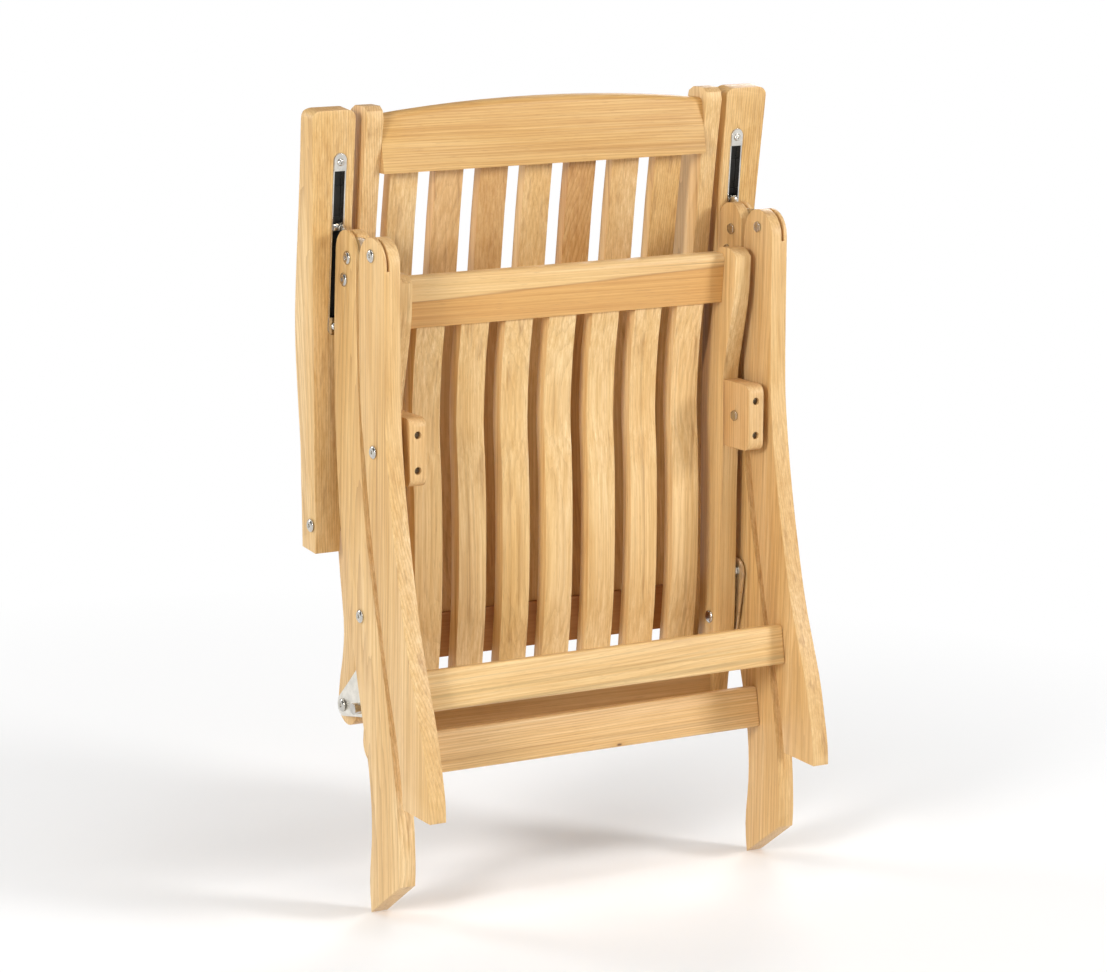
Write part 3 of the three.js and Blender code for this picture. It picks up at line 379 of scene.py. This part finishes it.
def teak(name, along, seed, look):
    """Sanded, unoiled teak: fine growth lines, fibres, pores and darker end grain.

    look may hold tone (pale to amber), rose (towards pinkish brown), deep (painted shade, a darker red
    brown for boards that lie in shade), figure (how close the heart of the log is), weathered (its streaks
    are grey, not brown), and where there is one a knot (x, z, radius) or a split (x, z, slope), the line
    above which the board is paler and below which it is orange brown.
    """
    material, graph, shader = fresh_material(name)
    *shares, tone_share = drawn(seed, DRAWS_PER_BOARD)
    figure = look.get("figure", PLAIN_FIGURE)
    here = graph.add("ShaderNodeTexCoord")
    place = place_in_log(graph, here, along, shares, figure)
    late = late_wood(graph, place, figure)
    threads = graph.grains(place, THREADS)
    fibres = graph.grains(place, FIBRES)
    clouds = graph.grains(place, CLOUDS)
    mottles = graph.grains(place, MOTTLES)
    pore = graph.span(graph.grains(place, PORES), *PORE_RANGE)
    streak = graph.span(graph.grains(place, STREAKS), *STREAK_RANGE)

    tone = look.get("tone", within(TONE_DRAW, tone_share))
    rose = look.get("rose", within(ROSE_DRAW, shares[2]))
    base = graph.mix(graph.span(clouds, *HONEY_RANGE), PALE, HONEY)
    base = graph.mix(graph.times(graph.span(clouds, *AMBER_RANGE), tone), base, AMBER)
    base = graph.mix(rose, base, ROSE)
    # Painted shade: boards that lie in shade are darkened towards red brown by their deep share
    base = graph.mix(look.get("deep", 0.0), base, PAINTED_SHADE_BROWN)
    if "split" in look:
        base, above = split_board(graph, here, base, look["split"], threads)
        streak = graph.times(streak, graph.span(above, *SPLIT_STREAKS))
    base = graph.mix(graph.times(late, within(LATE_WOOD_SHARE, figure)), base, BROWN)
    base = graph.mix(graph.times(streak, STREAK_SHARE), base, GREY_STREAK if look.get("weathered") else BROWN)
    if "knot" in look:
        base = knotted(graph, here, base, look["knot"])
    base = graph.shade(base, threads, THREAD_TINTS)
    base = graph.shade(base, fibres, FIBRE_TINTS)
    base = graph.shade(base, mottles, MOTTLE_TINTS)
    base = graph.mix(graph.times(pore, PORE_SHARE), base, PORE)

    # End grain drinks more and shows darker
    axis = (1.0, 0.0, 0.0) if along == "X" else (0.0, 0.0, 1.0)
    facing = graph.maths("ABSOLUTE", graph.vector("DOT_PRODUCT", here.outputs["Normal"], axis))
    base = graph.mix(graph.times(graph.span(facing, *END_GRAIN_RANGE), END_GRAIN_SHARE), base, BROWN)

    # Edges are rubbed a little paler
    pointed = graph.add("ShaderNodeNewGeometry").outputs["Pointiness"]
    base = graph.mix(graph.times(graph.span(pointed, *RUBBED_RANGE), RUBBED_SHARE), base, PALE)
    graph.link(base, shader.inputs["Base Color"])

    graph.link(graph.span(fibres, *WOOD_ROUGHNESS), shader.inputs["Roughness"])
    shader.inputs["Specular IOR Level"].default_value = WOOD_SPECULAR
    height = graph.maths("SUBTRACT", graph.times(fibres, FIBRE_HEIGHT), graph.times(pore, PORE_DEPTH))
    height = graph.maths("SUBTRACT", height, graph.times(late, LATE_WOOD_DEPTH))
    graph.bump(shader, height, *WOOD_BUMP)
    return material


def split_board(graph, here, base, line, threads):
    """A board sawn across a change of colour: pale above a slanting line, orange brown below it."""
    start, level, slope = line
    parts = graph.split(here.outputs["Object"])
    run = graph.times(graph.maths("SUBTRACT", parts["X"], start), slope)
    over = graph.maths("SUBTRACT", parts["Z"], graph.maths("ADD", run, level))
    ragged = graph.times(graph.maths("SUBTRACT", threads, 0.5), SPLIT_RAGGEDNESS)
    over = graph.maths("ADD", over, ragged)
    above = graph.span(over, *SPLIT_BLEND)
    near = graph.span(graph.maths("ABSOLUTE", over), *SPLIT_EDGE)
    joined = graph.mix(above, graph.mix(SPLIT_SHARE, base, ORANGE), base)
    return graph.mix(near, joined, BROWN), above


def knotted(graph, here, base, knot):
    """A small tight knot with a darker ring, seen on the face of a board."""
    x, z, radius = knot
    flat = graph.vector("MULTIPLY", here.outputs["Object"], (KNOT_FLATNESS, 0.0, 1.0))
    away = graph.vector("DISTANCE", flat, (KNOT_FLATNESS * x, 0.0, z))
    halo = graph.span(away, radius, KNOT_HALO_REACH * radius, KNOT_HALO_SHARE, 0.0)
    core = graph.span(away, KNOT_CORE_REACH * radius, radius, KNOT_CORE_SHARE, 0.0)
    return graph.mix(core, graph.mix(halo, base, AMBER), KNOT)


# Metal and nylon
def brushed(name, colour, roughness, lines=TURNED_LINES):
    """A turned or rolled metal with fine scratches and a few dull patches."""
    material, graph, shader = fresh_material(name)
    here = graph.add("ShaderNodeTexCoord").outputs["Object"]
    scratches = graph.grains(here, lines)
    patches = graph.span(graph.grains(here, METAL_PATCHES), *PATCH_RANGE)
    darker = tuple(PATCH_SHADE * part for part in colour)
    least, most = (roughness * share for share in ROUGHNESS_SPREAD)
    graph.link(graph.mix(patches, opaque(colour), opaque(darker)), shader.inputs["Base Color"])
    graph.link(graph.span(scratches, *SCRATCH_RANGE, least, most), shader.inputs["Roughness"])
    shader.inputs["Metallic"].default_value = 1.0
    graph.bump(shader, scratches, *METAL_BUMP)
    return material


def moulded_black(name):
    """Black nylon with a fine grain and a little dust."""
    material, graph, shader = fresh_material(name)
    here = graph.add("ShaderNodeTexCoord").outputs["Object"]
    grain = graph.grains(here, NYLON_GRAIN)
    dust = graph.span(graph.grains(here, NYLON_DUST), *DUST_RANGE)
    graph.link(graph.mix(dust, BLACK_NYLON, DUSTY_NYLON), shader.inputs["Base Color"])
    graph.link(graph.span(grain, *NYLON_ROUGHNESS), shader.inputs["Roughness"])
    graph.bump(shader, grain, *NYLON_BUMP)
    return material


# Edges: the frame's meshes stay as they are, and modifiers round and smooth them
def smoothing_group():
    """Geometry nodes that shade a mesh smooth across its shallow corners."""
    tree = bpy.data.node_groups.new("smooth_shallow_corners", "GeometryNodeTree")
    tree.interface.new_socket("Geometry", in_out="INPUT", socket_type="NodeSocketGeometry")
    tree.interface.new_socket("Geometry", in_out="OUTPUT", socket_type="NodeSocketGeometry")
    start = tree.nodes.new("NodeGroupInput")
    end = tree.nodes.new("NodeGroupOutput")
    faces = tree.nodes.new("GeometryNodeSetShadeSmooth")
    edges = tree.nodes.new("GeometryNodeSetShadeSmooth")
    edges.domain = "EDGE"
    corner = tree.nodes.new("GeometryNodeInputMeshEdgeAngle")
    shallow = tree.nodes.new("FunctionNodeCompare")
    shallow.data_type = "FLOAT"
    shallow.operation = "LESS_THAN"
    shallow.inputs[1].default_value = SHALLOW_CORNER
    tree.links.new(corner.outputs["Unsigned Angle"], shallow.inputs[0])
    tree.links.new(start.outputs[0], faces.inputs["Geometry"])
    tree.links.new(faces.outputs["Geometry"], edges.inputs["Geometry"])
    tree.links.new(shallow.outputs[0], edges.inputs["Shade Smooth"])
    tree.links.new(edges.outputs["Geometry"], end.inputs[0])
    return tree


SMOOTHING = smoothing_group()


def shade_smooth(obj):
    smooth = obj.modifiers.new("smooth", "NODES")
    smooth.node_group = SMOOTHING


def finish_node(node, material, width, segments, corner):
    """Gives a node of the frame its material, rounds its edges and smooths its shading."""
    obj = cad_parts[node]
    obj.data.materials.clear()
    obj.data.materials.append(material)
    weld = obj.modifiers.new("weld", "WELD")
    weld.merge_threshold = WELD_REACH
    bevel = obj.modifiers.new("roundover", "BEVEL")
    bevel.width = width
    bevel.segments = segments
    bevel.limit_method = "ANGLE"
    bevel.angle_limit = corner
    bevel.use_clamp_overlap = True
    bevel.miter_outer = "MITER_ARC"
    shade_smooth(obj)


def both(*names):
    return [f"{name}_{side}" for name in names for side in ("right", "left")]


def front_rail_split():
    """The colour change of the seat's front rail falls from right to left."""
    low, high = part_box("seat_front_rail")
    height = high[2] - low[2]
    left = high[2] - SPLIT_LEFT_DROP * height
    right = high[2] - SPLIT_RIGHT_DROP * height
    return (low[0], left, (right - left) / (high[0] - low[0]))


def stretcher_knot():
    low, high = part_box("rear_stretcher")
    x_share, z_share = KNOT_PLACE
    return (low[0] + x_share * (high[0] - low[0]), low[2] + z_share * (high[2] - low[2]), KNOT_RADIUS)


# The wooden boards, each from its own part of a log
UPRIGHT = both("rear_leg", "front_leg", "seat_rail", "back_stile", "armrest", "pivot_block")
UPRIGHT += [f"{part}_slat_{i}" for part in ("seat", "back") for i in range(1, 8)]
ACROSS = ["rear_stretcher", "front_stretcher", "seat_front_rail", "seat_rear_rail", "back_top_rail",
          "back_bottom_rail"]
# Deep shares are painted shade, on the back slats 3 and 5, the seat's rear rail and the back's bottom rail
LOOKS = {
    "rear_leg_left": {"tone": 0.2, "figure": 0.5},
    "rear_leg_right": {"tone": 0.6, "figure": 0.4},
    "front_leg_left": {"tone": 0.3, "rose": 0.12, "figure": 0.4},
    "front_leg_right": {"tone": 0.4, "figure": 0.3},
    "armrest_left": {"tone": 0.3, "figure": 0.6},
    "armrest_right": {"tone": 0.5, "figure": 0.8},
    "back_stile_left": {"tone": 0.45, "figure": 0.8},
    "back_stile_right": {"tone": 0.25, "figure": 0.5},
    "seat_rail_left": {"tone": 0.3},
    "seat_rail_right": {"tone": 0.25},
    "pivot_block_left": {"tone": 0.5, "rose": 0.3},
    "pivot_block_right": {"tone": 0.5, "rose": 0.3},
    "back_slat_1": {"tone": 0.25},
    "back_slat_2": {"tone": 0.45, "rose": 0.35},
    "back_slat_3": {"tone": 0.7, "rose": 0.2, "deep": 0.15},
    "back_slat_4": {"tone": 0.3},
    "back_slat_5": {"tone": 0.8, "rose": 0.2, "deep": 0.22, "figure": 0.6},
    "back_slat_6": {"tone": 0.4},
    "back_slat_7": {"tone": 0.35, "figure": 0.5},
    "back_bottom_rail": {"tone": 1.0, "deep": 0.9},
    "back_top_rail": {"tone": 0.85, "figure": 0.45},
    "seat_rear_rail": {"tone": 0.5, "deep": 0.2},
    "seat_front_rail": {"tone": 0.3, "weathered": True, "split": front_rail_split()},
    "front_stretcher": {"tone": 0.08, "weathered": True, "figure": 0.3},
    "rear_stretcher": {"tone": 0.02, "rose": 0.25, "figure": 0.6, "knot": stretcher_knot()},
}

for number, node in enumerate(UPRIGHT + ACROSS):
    along = "Z" if node in UPRIGHT else "X"
    board = teak(f"teak_{node}", along, FIRST_SEED + SEED_STEP * number, LOOKS.get(node, {}))
    slim = "slat" in node or "block" in node
    finish_node(node, board, SLAT_ROUNDOVER if slim else ROUNDOVER, WOOD_SEGMENTS, WOOD_CORNER)

STEEL = brushed("satin_steel", SATIN_STEEL, roughness=0.2)
PLATE = brushed("plate_steel", PLATE_STEEL, roughness=0.32, lines=ROLLED_LINES)
CHROME = brushed("bright_steel", BRIGHT_STEEL, roughness=0.14)
DULL = brushed("dull_steel", DULL_STEEL, roughness=0.36)
BRASS = brushed("plain_brass", PLAIN_BRASS, roughness=0.24)
BLACK = moulded_black("black_nylon")

FASTENERS = both("link_leg_bolt", "leg_hinge_bolt", "seat_pivot_bolt", "link_seat_bolt", "back_pivot_bolt",
                 "arm_pivot_bolt", "hinge_tongue", "stop_pin", "arm_pivot_spacer", "track_slider")
for nodes, metal in ((FASTENERS, STEEL), (both("link_plate"), PLATE), (both("seat_pivot_spacer"), BRASS),
                     (both("arm_track"), CHROME), (both("track_liner"), BLACK)):
    for node in nodes:
        finish_node(node, metal, METAL_ROUNDOVER, METAL_SEGMENTS, METAL_CORNER)


# The small cross-recess screws, drawn in their final places
def cross_screw(name, place, facing, size, metal, body):
    """A pan-head screw that sits at place. facing points out of its head."""
    head, height, shank, length = (size[key] for key in ("head", "height", "shank", "length"))
    side = Vector((1.0, 0.0, 0.0))
    other = facing.cross(side)
    mesh = bmesh.new()

    def point(u, v, level):
        return mesh.verts.new(place + side * u + other * v + facing * level)

    def ring(radius, level):
        turns = [2 * math.pi * i / SCREW_SIDES for i in range(SCREW_SIDES)]
        return [point(radius * math.cos(turn), radius * math.sin(turn), level) for turn in turns]

    def wall(lower, upper):
        total = len(lower)
        for i in range(total):
            following = (i + 1) % total
            mesh.faces.new((lower[i], lower[following], upper[following], upper[i]))

    def edges_of(loop):
        return [mesh.edges.get((loop[i], loop[(i + 1) % len(loop)])) for i in range(len(loop))]

    def cross(reach_share, half_share, level_share):
        reach = reach_share * head
        half = half_share * head
        corners = ((reach, half), (half, half), (half, reach), (-half, reach), (-half, half), (-reach, half),
                   (-reach, -half), (-half, -half), (-half, -reach), (half, -reach), (half, -half),
                   (reach, -half))
        return [point(u, v, level_share * height) for u, v in corners]

    profile = [(SCREW_TIP * shank, -length), (shank, shank - length), (shank, 0.0)]
    profile += [(radius * head, level * height) for radius, level in HEAD_OUTLINE]
    rings = [ring(radius, level) for radius, level in profile]
    for lower, upper in zip(rings, rings[1:]):
        wall(lower, upper)
    mesh.faces.new(list(reversed(rings[0])))
    mouth = cross(*CROSS_MOUTH)
    floor = cross(*CROSS_FLOOR)
    wall(floor, mouth)
    mesh.faces.new(floor)
    bmesh.ops.triangle_fill(mesh, use_beauty=True, edges=edges_of(rings[-1]) + edges_of(mouth))
    bmesh.ops.recalc_face_normals(mesh, faces=mesh.faces)
    data = bpy.data.meshes.new(name)
    mesh.to_mesh(data)
    mesh.free()
    data.materials.append(metal)
    screw = bpy.data.objects.new(name, data)
    bpy.context.scene.collection.objects.link(screw)
    shade_smooth(screw)
    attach(screw, body)


def add_screws():
    along = Vector((0.0, -math.sin(ARM_LEAN), math.cos(ARM_LEAN)))
    inward = Vector((0.0, math.cos(ARM_LEAN), math.sin(ARM_LEAN)))
    pivot = Vector((0.0, *ARM_PIVOT))
    forwards = Vector((0.0, -1.0, 0.0))
    for label, sign in (("right", 1), ("left", -1)):
        for which, height in BLOCK_SCREW_HEIGHTS.items():
            seat = Vector((sign * BLOCK_SCREW_X, BLOCK_SCREW_SEAT, height))
            cross_screw(f"block_screw_{which}_{label}", seat, forwards, BLOCK_SCREW, DULL, "seat")
        for which, distance in TRACK_SCREW_PLACES.items():
            seat = pivot + along * distance + inward * TRACK_SCREW_SEAT
            seat.x = sign * TRACK_SCREW_X
            cross_screw(f"track_screw_{which}_{label}", seat, -inward, TRACK_SCREW, CHROME, "arms")


add_screws()


# Floor, background and light
def pale_floor():
    """A pale floor that keeps the shadow and runs out to plain white away from the chair."""
    material, graph, shader = fresh_material("pale_floor")
    shader.inputs["Base Color"].default_value = opaque((FLOOR_WHITE, FLOOR_WHITE, FLOOR_WHITE))
    shader.inputs["Roughness"].default_value = FLOOR_ROUGHNESS
    shader.inputs["Specular IOR Level"].default_value = 0.0
    path = graph.add("ShaderNodeLightPath").outputs
    here = graph.add("ShaderNodeTexCoord").outputs["Object"]
    away = graph.vector("LENGTH", graph.vector("MULTIPLY", here, FLOOR_STRETCH))
    far = graph.times(graph.span(away, *FLOOR_FADE), path["Is Camera Ray"])
    mirrored = graph.maths("MAXIMUM", path["Is Glossy Ray"], path["Is Transmission Ray"])
    white = graph.add("ShaderNodeEmission")
    white.inputs["Color"].default_value = WHITE
    joined = graph.add("ShaderNodeMixShader")
    graph.link(graph.maths("MAXIMUM", far, mirrored), joined.inputs["Fac"])
    graph.link(shader.outputs["BSDF"], joined.inputs[1])
    graph.link(white.outputs["Emission"], joined.inputs[2])
    graph.link(joined.outputs["Shader"], material.node_tree.nodes["Material Output"].inputs["Surface"])
    bpy.ops.mesh.primitive_plane_add(size=FLOOR_SIZE, location=(0.0, 0.0, -FLOOR_DROP))
    floor = bpy.context.object
    floor.name = "studio_floor"
    floor.data.materials.append(material)


def white_world():
    """White to look at, a faint fill for the wood, and a room with dark walls for metal to mirror."""
    world = bpy.data.worlds.new("studio_world")
    bpy.context.scene.world = world
    world.use_nodes = True
    sky = Graph(world.node_tree)
    path = sky.add("ShaderNodeLightPath").outputs
    height = sky.split(sky.add("ShaderNodeTexCoord").outputs["Generated"])["Z"]
    looked_at = sky.maths("MAXIMUM", path["Is Camera Ray"], path["Is Transmission Ray"])
    bright = sky.maths("MAXIMUM", sky.span(height, *WALL_FOOT), sky.span(height, *CEILING_EDGE))
    room = sky.times(bright, path["Is Glossy Ray"])
    fill = sky.span(path["Is Glossy Ray"], 0.0, 1.0, FILL_STRENGTH, 0.0)
    back = world.node_tree.nodes["Background"]
    back.inputs["Color"].default_value = WHITE
    sky.link(sky.maths("MAXIMUM", looked_at, sky.maths("MAXIMUM", room, fill)), back.inputs["Strength"])


def lamp(name, place, size, power):
    data = bpy.data.lights.new(name, "AREA")
    data.shape = "DISK"
    data.size = size
    data.energy = power
    obj = bpy.data.objects.new(name, data)
    bpy.context.scene.collection.objects.link(obj)
    obj.location = place
    obj.rotation_euler = (Vector(MIDDLE) - Vector(place)).to_track_quat("-Z", "Y").to_euler()


pale_floor()
white_world()
for name, (place, size, power) in LAMPS.items():
    lamp(name, place, size, power)


def photo_camera():
    forward = Vector((math.sin(TURN) * math.cos(TILT), math.cos(TURN) * math.cos(TILT), -math.sin(TILT)))
    right = Vector((math.cos(TURN), -math.sin(TURN), 0.0))
    up = right.cross(forward)
    rolled_right = right * math.cos(ROLL) + up * math.sin(ROLL)
    rolled_up = up * math.cos(ROLL) - right * math.sin(ROLL)
    data = bpy.data.cameras.new("photo_camera")
    data.lens = LENS
    data.sensor_width = SENSOR
    data.sensor_fit = "HORIZONTAL"
    camera = bpy.data.objects.new("photo_camera", data)
    bpy.context.scene.collection.objects.link(camera)
    turn = Matrix((rolled_right, rolled_up, -forward)).transposed().to_4x4()
    camera.matrix_world = Matrix.Translation(Vector(TARGET) - forward * DISTANCE) @ turn
    bpy.context.scene.camera = camera


photo_camera()
bpy.context.scene.view_settings.view_transform = "Standard"
